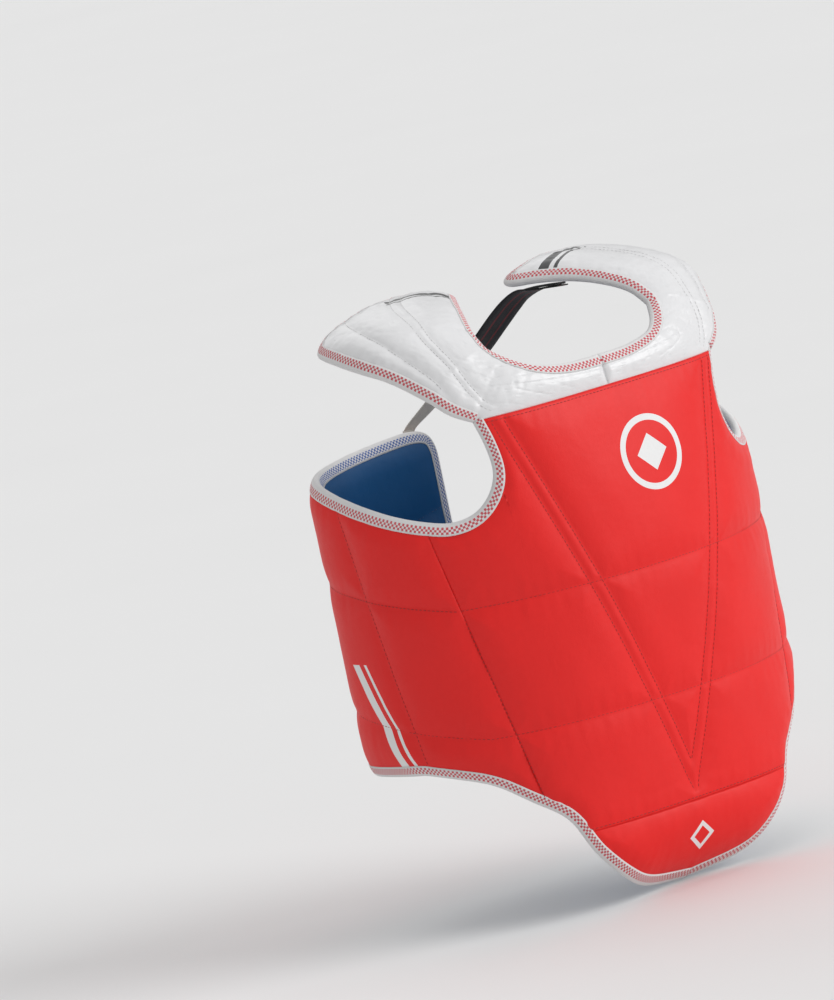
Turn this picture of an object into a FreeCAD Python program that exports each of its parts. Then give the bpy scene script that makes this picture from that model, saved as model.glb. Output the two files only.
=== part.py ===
"""Reversible padded chest protector, as a parametric document.

Frame: millimetres, +Z up, -Y is the front of the wearer's chest, +X the wearer's left.
The origin is under the middle of the box, at the height of the apron's lowest edge.
The body is one padded sheet that wraps round a vertical ring, so most shapes are given in
two flat coordinates: arc, the length round the ring from the front centre line, and height.
"""
import FreeCAD, Part
import Sketcher
import math
import os

doc = FreeCAD.newDocument("chest_protector")
sheet = doc.addObject("Spreadsheet::Sheet", "Sizes")

SIZES = {
    # ring that the body wraps round, seen from above
    "half_width": 238, "front_depth": 186, "back_depth": 120, "back_squareness": 3.5,
    "ring_centre_y": 28.7,
    # heights on the front centre line
    "yoke_seam_height": 512, "upper_quilt_height": 328, "lower_quilt_height": 195,
    "vee_tip_height": 104, "apron_seam_height": 82,
    # how far the front centre stands back from the ring
    "chest_hollow": 25, "belly_tuck": 20, "apron_curl": 46, "hollow_reach": 200,
    # lengths round the ring
    "vee_top_arc": 140, "hinge_arc": 305, "flank_top_arc": 237, "flank_low_arc": 172,
    "wing_end_arc": 612, "quilt_rise": 0.19,
    # sheet thicknesses, measured inwards from the outer face
    "vinyl": 0.7, "body_thickness": 19, "yoke_thickness": 14, "foam_gap": 0.3, "cover_gap": 0.1,
    "channel": 5, "joint_gap": 3, "tape_width": 10, "tape_near": 4.5, "tape_far": 11.5,
    # shoulder pieces
    "yoke_bulge": 12, "patch_rise": 1.2,
    # straps, tapes and hook ends
    "elastic_width": 38, "elastic_thickness": 1.6, "elastic_length": 122,
    "tape_tab_width": 25, "tape_tab_thickness": 1.8, "tape_tab_length": 66,
    "anchor_width": 14, "anchor_length": 42, "hook_length": 44, "hook_thickness": 2.4,
    "strap_x": 50, "strap_behind": 120.5, "strap_height": 487, "strap_end_x": 52,
    "strap_end_behind": 31, "strap_end_height": 599, "hook_turn": 34, "strap_layer": 1.4, "tab_lap": 26,
}
for row, (alias, value) in enumerate(SIZES.items(), start=1):
    sheet.set("A%d" % row, alias)
    sheet.set("B%d" % row, str(value))
    sheet.setAlias("B%d" % row, alias)
doc.recompute()

RING_STEPS = 720
CURVE_STEPS = 6
RIB_STEP = 18.0
SIDES = (("right", -1), ("left", 1))


def size(alias):
    return float(sheet.get(alias))


SEAM = size("yoke_seam_height")
HINGE = size("hinge_arc")
TAPE = size("tape_width")
CHANNEL = size("channel") / 2
JOINT = size("joint_gap") / 2
VINYL = size("vinyl")
GAP = size("foam_gap")
COVER_GAP = size("cover_gap")
BODY = size("body_thickness")
YOKE = size("yoke_thickness")


# ---------------------------------------------------------------- flat coordinates
def ring_radius(angle):
    """Distance from the ring's centre, at an angle from the front."""
    ahead, aside = math.cos(angle), math.sin(angle)
    power, depth = 2.0, size("front_depth")
    if ahead < 0:
        power, depth = size("back_squareness"), size("back_depth")
    return (abs(aside / size("half_width")) ** power + abs(ahead / depth) ** power) ** (-1 / power)


def make_ring():
    """Arc length, x and y at even angles round the wearer's left half."""
    rows, arc, last = [], 0.0, None
    for step in range(RING_STEPS + 1):
        angle = math.pi * step / RING_STEPS
        radius = ring_radius(angle)
        spot = (radius * math.sin(angle), size("ring_centre_y") - radius * math.cos(angle))
        if last:
            arc += math.dist(spot, last)
        rows.append((arc, *spot))
        last = spot
    return rows


RING = make_ring()


def ring_point(arc):
    """Point of the ring and its unit tangent, at a signed arc length."""
    reach, low, high = abs(arc), 0, RING_STEPS
    while high - low > 1:
        middle = (low + high) // 2
        if RING[middle][0] > reach:
            high = middle
        else:
            low = middle
    (arc_a, x_a, y_a), (arc_b, x_b, y_b) = RING[low], RING[high]
    part = (reach - arc_a) / (arc_b - arc_a)
    side = -1 if arc < 0 else 1
    tangent = FreeCAD.Vector(side * (x_b - x_a), y_b - y_a, 0).normalize()
    return FreeCAD.Vector(side * (x_a + (x_b - x_a) * part), y_a + (y_b - y_a) * part, 0), tangent


def hollow(height):
    """How far the front centre line stands behind the ring at a height."""
    fullest = size("upper_quilt_height")
    if height > fullest:
        return size("chest_hollow") * ((height - fullest) / (SEAM - fullest)) ** 2
    span = fullest - size("vee_tip_height")
    tuck = size("belly_tuck") * min(1, (fullest - height) / span) ** 1.5
    curl = max(0, 1 - height / size("apron_seam_height"))
    return tuck + size("apron_curl") * curl ** 2


def body_point(arc, height, depth=0.0):
    """A point of the body's sheet, a depth inwards from its outer face."""
    spot, tangent = ring_point(arc)
    reach = min(abs(spot.x), size("hollow_reach")) / size("hollow_reach")
    if spot.y < size("ring_centre_y"):
        spot.y += hollow(height) * 0.5 * (1 + math.cos(math.pi * reach))
    spot.z = height
    side = -1 if arc < 0 else 1
    return spot + FreeCAD.Vector(-side * tangent.y, side * tangent.x, 0) * depth


def blend_points(points, part):
    """Smooth curve through a list of points, at a part of its way from 0 to 1."""
    place = min(max(part, 0.0), 1.0) * (len(points) - 1)
    index = min(int(place), len(points) - 2)
    t = place - index
    before, after = points[max(index - 1, 0)], points[min(index + 2, len(points) - 1)]
    here, there = points[index], points[index + 1]
    result = []
    for p0, p1, p2, p3 in zip(before, here, there, after):
        result.append(0.5 * (2 * p1 + (p2 - p0) * t + (2 * p0 - 5 * p1 + 4 * p2 - p3) * t * t
                             + (3 * p1 - p0 - 3 * p2 + p3) * t ** 3))
    return result


# outlines in arc and height, wearer's left half
ARMHOLE = [(165, 512), (157, 484), (155, 456), (166, 434), (185, 419), (209, 414), (231, 417),
           (268, 427), (302, 438)]
WING_TOP = [(308, 440), (345, 451), (403, 468), (480, 477), (560, 482), (590, 481), (606, 474),
            (612, 458)]
WING_LOW = [(308, 168), (403, 166), (480, 166), (560, 167), (590, 169), (606, 176), (612, 192)]
HEM = [(0, 0), (60, 9), (95, 27), (129, 60), (152, 100), (188, 126), (224, 149), (264, 161),
       (302, 168)]
HEM_UNDER_ARMHOLE = [(80, 19), (104, 35), (126, 57), (142, 84), (165, 111), (189, 127),
                     (215, 144), (258, 160), (302, 168)]

# shoulder flap: neck edge, crown and outer edge, as x, y behind the seam and height above it
FLAP_NECK = [(103.5, 47, 66), (99.6, 68, 81), (87, 93, 93), (69, 125, 103), (45, 162, 107),
             (23, 193, 105)]
FLAP_CROWN = [(145, 42, 58), (154, 70, 84), (152, 100, 102), (142, 145, 114), (128, 178, 119),
              (110, 205, 119)]
FLAP_OUTER = [(186, 48, 30), (204, 80, 55), (217, 112, 71), (219, 148, 82), (212, 186, 89),
              (196, 212, 94)]
NECK_FRONT = [(0, 4.5, 30), (38, 6.4, 31.5), (72, 12, 39), (93, 28, 52), (103.5, 47, 66)]
ARM_FRONT = [(156, 22.6, 0), (174, 34, 14), (186, 48, 30)]


def at_shoulder(spot, side):
    """Turn x, y behind the seam and height above it into the part's own frame."""
    seam_front = size("ring_centre_y") - size("front_depth") + size("chest_hollow")
    return FreeCAD.Vector(side * spot[0], seam_front + spot[1], SEAM + spot[2])


def vee_arc(height):
    """Arc of the slanted double seam from the armhole to the tip of the vee."""
    tip = size("vee_tip_height")
    return size("vee_top_arc") * max(0, (height - tip) / (SEAM - tip))


def flank_arc(height):
    """Arc of the slanted seam that drops from the bottom of the armhole."""
    low, high = 118.0, 402.0
    part = (height - low) / (high - low)
    return size("flank_low_arc") + (size("flank_top_arc") - size("flank_low_arc")) * part


def quilt_height(row, arc):
    """Height of a level quilting seam, which climbs towards the back."""
    level = size("upper_quilt_height" if row else "lower_quilt_height")
    return level + size("quilt_rise") * max(0, abs(arc) - 215)


# ---------------------------------------------------------------- solids from ribs
def spline(points):
    if len(points) == 2:
        return Part.LineSegment(*points).toShape()
    curve = Part.BSplineCurve()
    curve.interpolate(points)
    return curve.toShape()


def ruled(near, far):
    """Face of straight lines between two edges that run the same way."""
    return Part.makeLoft([Part.Wire(near), Part.Wire(far)], False, True).Faces[0]


def skin(ribs):
    """Closed solid over ribs, each a pair of point rows: outer face and inner face."""
    edges = [(spline(outer), spline(inner)) for outer, inner in ribs]
    ends = [(spline([outer[0], inner[0]]), spline([outer[-1], inner[-1]])) for outer, inner in ribs]
    faces = [ruled(*edges[0]), ruled(*edges[-1])]
    for here, there, end_here, end_there in zip(edges, edges[1:], ends, ends[1:]):
        for near, far in zip(here + end_here, there + end_there):
            faces.append(ruled(near, far))
    shell = Part.makeCompound(faces)
    shell.sewShape()
    solid = Part.makeSolid(shell.Shells[0])
    if solid.Volume < 0:
        solid.reverse()
    return solid


def add_feature(label, shape):
    """A sewn or moulded piece whose shape no primitive gives."""
    feature = doc.addObject("Part::Feature", label)
    feature.Label = label
    feature.Shape = shape
    feature.Placement = FreeCAD.Placement()
    return feature


def body_slab(label, low_path, high_path, near, far, steps, trim=0.0):
    """Slab of the body's sheet between two flat paths, from one depth to another."""
    ribs = []
    longest = max(math.dist(low_path(step / steps), high_path(step / steps)) for step in range(steps + 1))
    for step in range(steps + 1):
        part = step / steps
        low, high = low_path(part), high_path(part)
        length = math.dist(low, high)
        shave = min(trim / length, 0.45)
        places = max(5, round(longest / RIB_STEP))
        outer, inner = [], []
        for place in range(places + 1):
            share = shave + (1 - 2 * shave) * place / places
            arc = low[0] + (high[0] - low[0]) * share
            height = low[1] + (high[1] - low[1]) * share
            outer.append(body_point(arc, height, near))
            inner.append(body_point(arc, height, far))
        ribs.append((outer, inner))
    return add_feature(label, skin(ribs))


def flap_point(side, across, along, depth=0.0):
    """A point of a shoulder flap's sheet: across from neck to arm, along from front to end."""
    def surface(a, b):
        neck = blend_points(FLAP_NECK, b)
        crown = blend_points(FLAP_CROWN, b)
        outer = blend_points(FLAP_OUTER, b)
        spot = [(1 - a) * (1 - 2 * a) * n + 4 * a * (1 - a) * c + a * (2 * a - 1) * o
                for n, c, o in zip(neck, crown, outer)]
        return at_shoulder(spot, 1)

    small = 0.01
    spot = surface(across, along)
    run = surface(across, min(along + small, 1)) - surface(across, max(along - small, 0))
    reach = surface(min(across + small, 1), along) - surface(max(across - small, 0), along)
    inward = run.cross(reach).normalize()
    if inward.z > 0:
        inward = inward * -1
    spot = spot + inward * depth
    return FreeCAD.Vector(side * spot.x, spot.y, spot.z)


def yoke_point(side, across, up, depth=0.0):
    """A point of the yoke's front: across from the centre line to the shoulder, up from the seam."""
    def surface(a, v):
        turn = 0.8
        top = at_shoulder(blend_points(NECK_FRONT, a), 1)
        if a <= turn:
            low = body_point(165 * a / turn, SEAM)
        else:
            low = at_shoulder(blend_points(ARM_FRONT, (a - turn) / (1 - turn)), 1)
        spot = low + (top - low) * v
        lift = size("yoke_bulge") * a * a * 4 * v * (1 - v)
        return spot + FreeCAD.Vector(0, -0.5, 0.85) * lift

    small = 0.01
    spot = surface(across, up)
    run = surface(across, min(up + small, 1)) - surface(across, max(up - small, 0))
    reach = surface(min(across + small, 1), up) - surface(max(across - small, 0), up)
    inward = run.cross(reach).normalize()
    if inward.y < 0:
        inward = inward * -1
    spot = spot + inward * depth
    return FreeCAD.Vector(side * spot.x, spot.y, spot.z)


def patch_slab(label, point, across, along, near, far, steps):
    """Slab of a shoulder surface over a range across and a range along it."""
    ribs = []
    for step in range(steps + 1):
        b = along[0] + (along[1] - along[0]) * step / steps
        places = [across[0] + (across[1] - across[0]) * i / CURVE_STEPS for i in range(CURVE_STEPS + 1)]
        ribs.append(([point(a, b, near) for a in places], [point(a, b, far) for a in places]))
    return add_feature(label, skin(ribs))


def strip(label, pairs):
    """Folded edge tape: pairs of sections, each a function of depth at its edge and inner line."""
    near, far = size("tape_near"), size("tape_far")
    ribs = [([edge(near), inner(near)], [edge(far), inner(far)]) for edge, inner in pairs]
    return add_feature(label, skin(ribs))


def body_pairs(path, side, inward, steps):
    """Edge tape sections along a flat path; inward is +1 if the sheet is on the path's left."""
    pairs = []
    for step in range(steps + 1):
        here = blend_points(path, step / steps)
        ahead = blend_points(path, min(step / steps + 0.01, 1))
        behind = blend_points(path, max(step / steps - 0.01, 0))
        run = (ahead[0] - behind[0], ahead[1] - behind[1])
        length = math.hypot(*run)
        inner = (here[0] - inward * run[1] / length * TAPE, here[1] + inward * run[0] / length * TAPE)
        pairs.append((lambda d, p=here: body_point(side * p[0], p[1], d),
                      lambda d, p=inner: body_point(side * p[0], p[1], d)))
    return pairs


def line(start, end):
    """Straight flat path."""
    return lambda part: (start[0] + (end[0] - start[0]) * part, start[1] + (end[1] - start[1]) * part)


def curve(points, side=1):
    """Smooth flat path through points."""
    def path(part):
        arc, height = blend_points(points, part)
        return side * arc, height
    return path


# ---------------------------------------------------------------- foam pads in the quilting
def foam(label, low_path, high_path, steps):
    return body_slab(label, low_path, high_path, VINYL + COVER_GAP, BODY - VINYL - GAP, steps, CHANNEL)


def inside(arc_at, height, offset):
    """Flat point beside a slanted seam."""
    return arc_at(height) + offset, height


UPPER = size("upper_quilt_height")
LOWER = size("lower_quilt_height")
TIP = size("vee_tip_height")
VEE_CLEAR = 12.0


def vee_row(height, side):
    return side * (vee_arc(height) - VEE_CLEAR), height


foam("chest_foam", line(vee_row(UPPER, -1), vee_row(UPPER, 1)),
     line(vee_row(SEAM - 2, -1), vee_row(SEAM - 2, 1)), 14)
foam("belly_foam", line(vee_row(LOWER, -1), vee_row(LOWER, 1)),
     line(vee_row(UPPER, -1), vee_row(UPPER, 1)), 10)
foam("vee_tip_foam", line((-6, TIP + 34), (6, TIP + 34)),
     line(vee_row(LOWER, -1), vee_row(LOWER, 1)), 4)
foam("apron_foam", line((-98, 44), (98, 44)),
     line((-118, size("apron_seam_height")), (118, size("apron_seam_height"))), 12)

for name, side in SIDES:
    def seam_side(height, offset, arc_at, s=side):
        arc, level = inside(arc_at, height, offset)
        return s * arc, level

    foam(name + "_breast_foam",
         line(seam_side(UPPER, VEE_CLEAR, vee_arc), seam_side(UPPER, -CHANNEL, flank_arc)),
         line(seam_side(440, VEE_CLEAR, vee_arc), (side * 200, 399)), 8)
    foam(name + "_rib_foam",
         line(seam_side(LOWER, VEE_CLEAR, vee_arc), seam_side(LOWER, -CHANNEL, flank_arc)),
         line(seam_side(UPPER, VEE_CLEAR, vee_arc), seam_side(UPPER, -CHANNEL, flank_arc)), 8)
    foam(name + "_hip_foam",
         line((side * 14, size("apron_seam_height") + 4), (side * 162, 128)),
         line(seam_side(LOWER, VEE_CLEAR, vee_arc), seam_side(LOWER, -CHANNEL, flank_arc)), 8)
    rise = quilt_height(1, HINGE) - UPPER
    foam(name + "_flank_upper_foam",
         line(seam_side(UPPER, CHANNEL, flank_arc), (side * (HINGE - JOINT), UPPER + rise)),
         line((side * 238, 406), (side * (HINGE - JOINT), 426)), 6)
    foam(name + "_flank_middle_foam",
         line(seam_side(LOWER, CHANNEL, flank_arc), (side * (HINGE - JOINT), LOWER + rise)),
         line(seam_side(UPPER, CHANNEL, flank_arc), (side * (HINGE - JOINT), UPPER + rise)), 6)
    foam(name + "_flank_lower_foam",
         line((side * 200, 156), (side * (HINGE - JOINT), 184)),
         line(seam_side(LOWER, CHANNEL, flank_arc), (side * (HINGE - JOINT), LOWER + rise)), 6)

# ---------------------------------------------------------------- trunk covers and lining
APRON_SEAM = size("apron_seam_height")
APRON_ARC = 136.0
BODY_FLAT = [(20 * i, APRON_SEAM) for i in range(4)] + [(arc, max(height, APRON_SEAM)) for arc, height in HEM_UNDER_ARMHOLE]


def mirrored(points):
    """Flat path of straight runs across both halves, from the right edge to the left edge."""
    def path(part):
        place = abs(2 * part - 1) * (len(points) - 1)
        index = min(int(place), len(points) - 2)
        arc, height = line(points[index], points[index + 1])(place - index)
        return (arc if part >= 0.5 else -arc), height
    return path


TOP_FLAT = [(41.25 * i, SEAM) for i in range(4)] + ARMHOLE
LINING_LOW = [(20 * i, 2 + 4.25 * i) for i in range(4)] + HEM_UNDER_ARMHOLE
YOKE_LOW = 0.16
body_slab("front_cover", mirrored(BODY_FLAT), mirrored(TOP_FLAT), 0, VINYL, 72, GAP)
body_slab("front_lining", mirrored(LINING_LOW), mirrored(TOP_FLAT),
          BODY - VINYL, BODY, 72, GAP)
body_slab("apron_cover", mirrored([(0, 0), (60, 9), (95, 27), (129, 60)]),
          mirrored([(0, APRON_SEAM), (50, APRON_SEAM), (98, APRON_SEAM), (APRON_ARC, APRON_SEAM)]),
          0, VINYL, 20, GAP)

for name, side in SIDES:
    def yoke(across, up, depth, s=side):
        return yoke_point(s, across, up, depth)

    patch_slab(name + "_yoke_cover", lambda v, a, d: yoke(a, v, d), (0.02, 0.98), (0.004, 0.985),
               0, VINYL, 16)
    def yoke_fill(share, across, depth, s=side):
        """Point of the foam, which stops short of the tape round the neck."""
        length = (yoke_point(1, across, 1) - yoke_point(1, across, 0)).Length
        high = 1 - (TAPE + CHANNEL) / length
        return yoke_point(s, across, YOKE_LOW + (high - YOKE_LOW) * share, depth)

    patch_slab(name + "_yoke_foam", yoke_fill, (0, 1), (0.03, 0.97), VINYL + GAP, YOKE - VINYL - GAP, 14)
    patch_slab(name + "_yoke_lining", lambda v, a, d: yoke(a, v, d), (0.02, 0.98), (0.004, 0.985),
               YOKE - VINYL, YOKE, 16)

# ---------------------------------------------------------------- trunk edge tapes
def neck_pairs():
    """Tape sections round the front of the neck, from the right shoulder to the left."""
    pairs, steps = [], 24
    for step in range(steps + 1):
        place = (2 * step / steps - 1) * 0.985
        side = -1 if place < 0 else 1
        length = (yoke_point(1, abs(place), 1) - yoke_point(1, abs(place), 0)).Length
        low = 1 - TAPE / length
        pairs.append((lambda d, a=abs(place), s=side: yoke_point(s, a, 1, d),
                      lambda d, a=abs(place), s=side, v=low: yoke_point(s, a, v, d)))
    return pairs


def arm_pairs(side):
    """Tape sections up the front of the shoulder, above the yoke seam."""
    pairs, steps = [], 5
    for step in range(steps + 1):
        place = 0.985 - (0.985 - 0.815) * step / steps
        length = (yoke_point(1, place, 1) - yoke_point(1, place, 0)).Length
        high = TAPE / length
        pairs.append((lambda d, a=place: yoke_point(side, a, 0, d),
                      lambda d, a=place, v=high: yoke_point(side, a, v, d)))
    return pairs


strip("neck_binding", neck_pairs())
strip("hem_binding", body_pairs(HEM[::-1], -1, -1, 40) + body_pairs(HEM, 1, 1, 40)[1:])
for name, side in SIDES:
    strip(name + "_armhole_binding", arm_pairs(side) + body_pairs(ARMHOLE, side, -1, 30)[1:])

# ---------------------------------------------------------------- side wings
WING_FOAM_END = size("wing_end_arc") - TAPE - 4 * GAP


def wing_level(arc, row):
    """Heights of the wing's lower edge, two quilting seams and upper edge at an arc."""
    if row in (1, 2):
        return quilt_height(row - 1, arc)
    points = WING_TOP if row else WING_LOW
    for before, after in zip(points, points[1:]):
        if arc <= after[0]:
            share = (arc - before[0]) / (after[0] - before[0])
            return before[1] + (after[1] - before[1]) * share + (-TAPE - 4 * GAP if row else TAPE + 4 * GAP)
    return points[-1][1]


def wing_path(side, row):
    def path(part):
        start = HINGE + JOINT + 4
        arc = start + (WING_FOAM_END - start) * part
        return side * arc, wing_level(arc, row)
    return path


for name, side in SIDES:
    body_slab(name + "_wing_cover", curve(WING_LOW, side), curve(WING_TOP, side), 0, VINYL, 72, GAP)
    body_slab(name + "_wing_lining", curve(WING_LOW, side), curve(WING_TOP, side),
              BODY - VINYL, BODY, 72, GAP)
    for row, level in enumerate(("lower", "middle", "upper")):
        foam("%s_wing_%s_foam" % (name, level), wing_path(side, row), wing_path(side, row + 1), 26)
    outline = body_pairs(WING_LOW, side, 1, 26) + body_pairs(WING_TOP[::-1], side, 1, 30)
    strip(name + "_wing_binding", outline)

# ---------------------------------------------------------------- shoulder flaps
FLAP_START = 0.02


def flap_pairs(side):
    """Tape sections round a flap: neck edge, end and outer edge."""
    def inner(a, b):
        return min(max(a, 0.075), 0.94), min(b, 0.945)

    route = [(0.0, FLAP_START + (1 - FLAP_START) * i / 12) for i in range(13)]
    route += [(i / 12, 1.0) for i in range(1, 13)]
    route += [(1.0, 1 - (1 - FLAP_START) * i / 12) for i in range(1, 13)]
    return [(lambda d, p=p: flap_point(side, *p, d), lambda d, p=p: flap_point(side, *inner(*p), d))
            for p in route]


for name, side in SIDES:
    def flap(across, along, depth, s=side):
        return flap_point(s, across, along, depth)

    patch_slab(name + "_shoulder_cover", flap, (0.01, 0.99), (FLAP_START, 0.995), 0, VINYL, 14)
    patch_slab(name + "_shoulder_foam", flap, (0.085, 0.93), (FLAP_START + 0.03, 0.935),
               VINYL + GAP, YOKE - VINYL - GAP, 12)
    patch_slab(name + "_shoulder_lining", flap, (0.01, 0.99), (FLAP_START, 0.995),
               YOKE - VINYL, YOKE, 14)
    patch_slab(name + "_shoulder_patch", flap, (0.08, 0.30), (0.76, 0.93),
               -size("patch_rise"), -0.2, 4)
    strip(name + "_shoulder_binding", flap_pairs(side))


# ---------------------------------------------------------------- crossed straps
def plate(label, width, length, thickness, placement):
    """Flat sewn piece: a rectangle across X and along Y, padded upwards in Z."""
    body = doc.addObject("PartDesign::Body", label)
    body.Label = label
    plane = [item for item in body.Origin.OriginFeatures if item.Role == "XY_Plane"][0]
    sketch = body.newObject("Sketcher::SketchObject", label + "_outline")
    sketch.AttachmentSupport = [(plane, "")]
    sketch.MapMode = "FlatFace"
    corners = ((-10, 0), (10, 0), (10, 20), (-10, 20))
    for index, corner in enumerate(corners):
        following = corners[(index + 1) % 4]
        sketch.addGeometry(Part.LineSegment(FreeCAD.Vector(*corner, 0), FreeCAD.Vector(*following, 0)))
    for index in range(4):
        sketch.addConstraint(Sketcher.Constraint("Coincident", index, 2, (index + 1) % 4, 1))
    for index, kind in ((1, "Vertical"), (2, "Horizontal"), (3, "Vertical")):
        sketch.addConstraint(Sketcher.Constraint(kind, index))
    sketch.addConstraint(Sketcher.Constraint("Symmetric", 0, 1, 0, 2, -2))
    sketch.addConstraint(Sketcher.Constraint("PointOnObject", 0, 1, -1))
    across = sketch.addConstraint(Sketcher.Constraint("Distance", 0, 20))
    along = sketch.addConstraint(Sketcher.Constraint("Distance", 1, 20))
    sketch.setExpression("Constraints[%d]" % across, "Sizes." + width)
    sketch.setExpression("Constraints[%d]" % along, "Sizes." + length)
    pad = body.newObject("PartDesign::Pad", label + "_pad")
    pad.Profile = sketch
    pad.setExpression("Length", "Sizes." + thickness)
    body.Placement = placement
    return body


def strap_frame(side):
    """Start of a strap at its own wing, its direction, and the outward normal of its plane."""
    centre = size("ring_centre_y")
    start = FreeCAD.Vector(side * size("strap_x"), centre + size("strap_behind"), size("strap_height"))
    end = FreeCAD.Vector(-side * size("strap_end_x"), centre + size("strap_end_behind"),
                         size("strap_end_height"))
    along = (end - start).normalize()
    flat = FreeCAD.Vector(0, along.y, along.z).normalize()
    normal = FreeCAD.Vector(0, flat.z, -flat.y)
    return start, along, normal


def lay(start, along, normal):
    """Placement that turns a plate's Y along a direction and its Z to a normal."""
    return FreeCAD.Placement(start, FreeCAD.Rotation(along.cross(normal), along, normal, "ZYX"))


for name, side in SIDES:
    start, along, normal = strap_frame(side)
    layer = side * size("strap_layer")
    tab_start = start + normal * layer
    tab_layer = size("elastic_thickness") + 0.1 if side > 0 else -size("tape_tab_thickness") - 0.1
    plate(name + "_tape_tab", "tape_tab_width", "tape_tab_length", "tape_tab_thickness",
          lay(tab_start + normal * tab_layer, along, normal))
    plate(name + "_elastic", "elastic_width", "elastic_length", "elastic_thickness",
          lay(tab_start + along * (size("tape_tab_length") - size("tab_lap")), along, normal))
    turn = math.radians(size("hook_turn"))
    hook_start = FreeCAD.Vector(-side * (size("strap_end_x") + 3),
                                size("ring_centre_y") + size("strap_end_behind") - 2,
                                size("strap_end_height") + 3)
    plate(name + "_hook_end", "elastic_width", "hook_length", "hook_thickness",
          lay(hook_start, FreeCAD.Vector(-side * math.sin(turn), -math.cos(turn), 0),
              FreeCAD.Vector(0, 0, 1)))
    anchor_start = FreeCAD.Vector(side * (size("strap_x") + 6), size("ring_centre_y")
                                  + size("back_depth") + 0.5, size("strap_height") - 4)
    plate(name + "_tab_anchor", "anchor_width", "anchor_length", "tape_tab_thickness",
          lay(anchor_start, FreeCAD.Vector(0, 0, -1), FreeCAD.Vector(0, 1, 0)))

# ---------------------------------------------------------------- check and write
doc.recompute()
for item in doc.Objects:
    if {"Invalid", "Error"} & set(item.State):
        raise RuntimeError("%s failed: %s" % (item.Name, item.State))

os.makedirs("parts", exist_ok=True)
KINDS = ("Part::Feature", "PartDesign::Body")
pieces = [item for item in doc.Objects if item.TypeId in KINDS]
bad = [piece.Label for piece in pieces if piece.Shape.isNull() or not piece.Shape.isValid()]
if bad:
    raise RuntimeError("no valid shape: %s" % ", ".join(bad))
for piece in pieces:
    piece.Shape.exportStep("parts/%s.step" % piece.Label)
    print("%-28s %9.0f mm3" % (piece.Label, piece.Shape.Volume))
whole = Part.makeCompound([piece.Shape for piece in pieces]).BoundBox
print(len(pieces), "pieces, box", whole)
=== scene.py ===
"""Looks of the reversible padded chest protector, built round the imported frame.

Shapes are worked out in millimetres in the part's own frame and turned into metres last.
The body is one padded sheet round a vertical ring: arc is the length round the ring from the
front centre line, height is above the lowest edge, and depth is inwards from the outer face.
"""

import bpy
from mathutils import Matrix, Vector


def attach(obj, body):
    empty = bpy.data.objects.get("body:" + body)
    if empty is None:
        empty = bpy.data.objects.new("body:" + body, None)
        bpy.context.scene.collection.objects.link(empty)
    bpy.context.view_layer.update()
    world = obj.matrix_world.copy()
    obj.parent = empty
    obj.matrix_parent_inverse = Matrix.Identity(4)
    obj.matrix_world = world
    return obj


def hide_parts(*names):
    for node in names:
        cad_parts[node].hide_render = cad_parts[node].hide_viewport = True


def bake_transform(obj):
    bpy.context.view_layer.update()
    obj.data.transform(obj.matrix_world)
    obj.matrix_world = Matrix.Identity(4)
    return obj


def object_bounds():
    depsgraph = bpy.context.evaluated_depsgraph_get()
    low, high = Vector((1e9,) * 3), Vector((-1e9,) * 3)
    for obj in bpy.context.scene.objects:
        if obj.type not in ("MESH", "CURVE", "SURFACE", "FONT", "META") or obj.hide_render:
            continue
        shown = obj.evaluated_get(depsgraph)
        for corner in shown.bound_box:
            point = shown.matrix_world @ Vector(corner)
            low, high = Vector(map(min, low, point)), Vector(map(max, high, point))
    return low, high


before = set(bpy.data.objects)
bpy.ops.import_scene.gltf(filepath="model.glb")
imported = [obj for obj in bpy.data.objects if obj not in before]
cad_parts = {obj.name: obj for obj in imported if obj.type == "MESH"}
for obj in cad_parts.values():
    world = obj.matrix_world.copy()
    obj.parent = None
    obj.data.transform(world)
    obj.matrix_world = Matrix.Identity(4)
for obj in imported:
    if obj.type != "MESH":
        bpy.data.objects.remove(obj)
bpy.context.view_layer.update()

import math

import bpy
import numpy as np
from mathutils import Matrix, Vector

MM = 0.001
SIDES = (("right", -1), ("left", 1))

# ---- sizes, the same as the part's
HALF_WIDTH, FRONT_DEPTH, BACK_DEPTH, BACK_POWER, CENTRE_Y = 238.0, 186.0, 120.0, 3.5, 28.7
SEAM, UPPER, LOWER, TIP, APRON = 512.0, 328.0, 195.0, 104.0, 82.0
CHEST_HOLLOW, BELLY_TUCK, APRON_CURL, HOLLOW_REACH = 25.0, 20.0, 46.0, 200.0
QUILT_RISE, RISE_FROM = 0.19, 215.0
BODY, YOKE, YOKE_BULGE, YOKE_ARC, YOKE_TURN = 19.0, 14.0, 12.0, 165.0, 0.8
TAPE = 10.0
PAD_GAP = 0.2  # half the gap between an outer pad and the lining pad under it
BODY_SEED = {"right": 2.9, "left": 0.4}
SHOULDER_SEED = {"right": 4.2, "left": 1.1}
FRONT_SEED = BODY_SEED["left"]

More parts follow.
